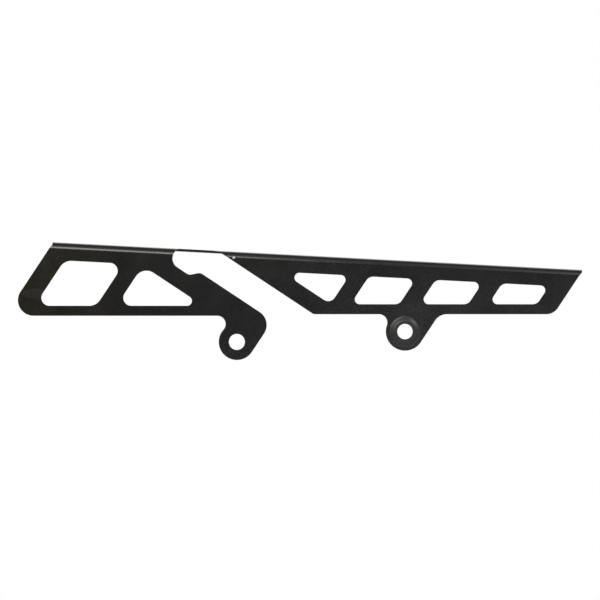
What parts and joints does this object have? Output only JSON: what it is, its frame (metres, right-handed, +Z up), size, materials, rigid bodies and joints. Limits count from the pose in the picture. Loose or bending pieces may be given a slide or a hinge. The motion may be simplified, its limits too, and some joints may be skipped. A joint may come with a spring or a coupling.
{
  "type": "motorcycle belt guard",
  "caption": "Folded sheet guard for a motorcycle drive belt: windowed side panels split by a slanting gap, a flange over the belt, and drilled ears to bolt it on.",
  "frame": {"origin": "centre of the wide ear's bore at the back of the sheet, the face that sits on its support", "axes": "+X along the feet of the panels toward the narrow end, -Y out of the outer face, +Y over the belt, +Z up to the flange"},
  "size_m": [0.5078, 0.042, 0.1061],
  "materials": {
    "powder_coated_steel": "satin black powder coat"
  },
  "bodies": {
    "root": {"belt_guard": "powder_coated_steel"}
  },
  "joints": []
}
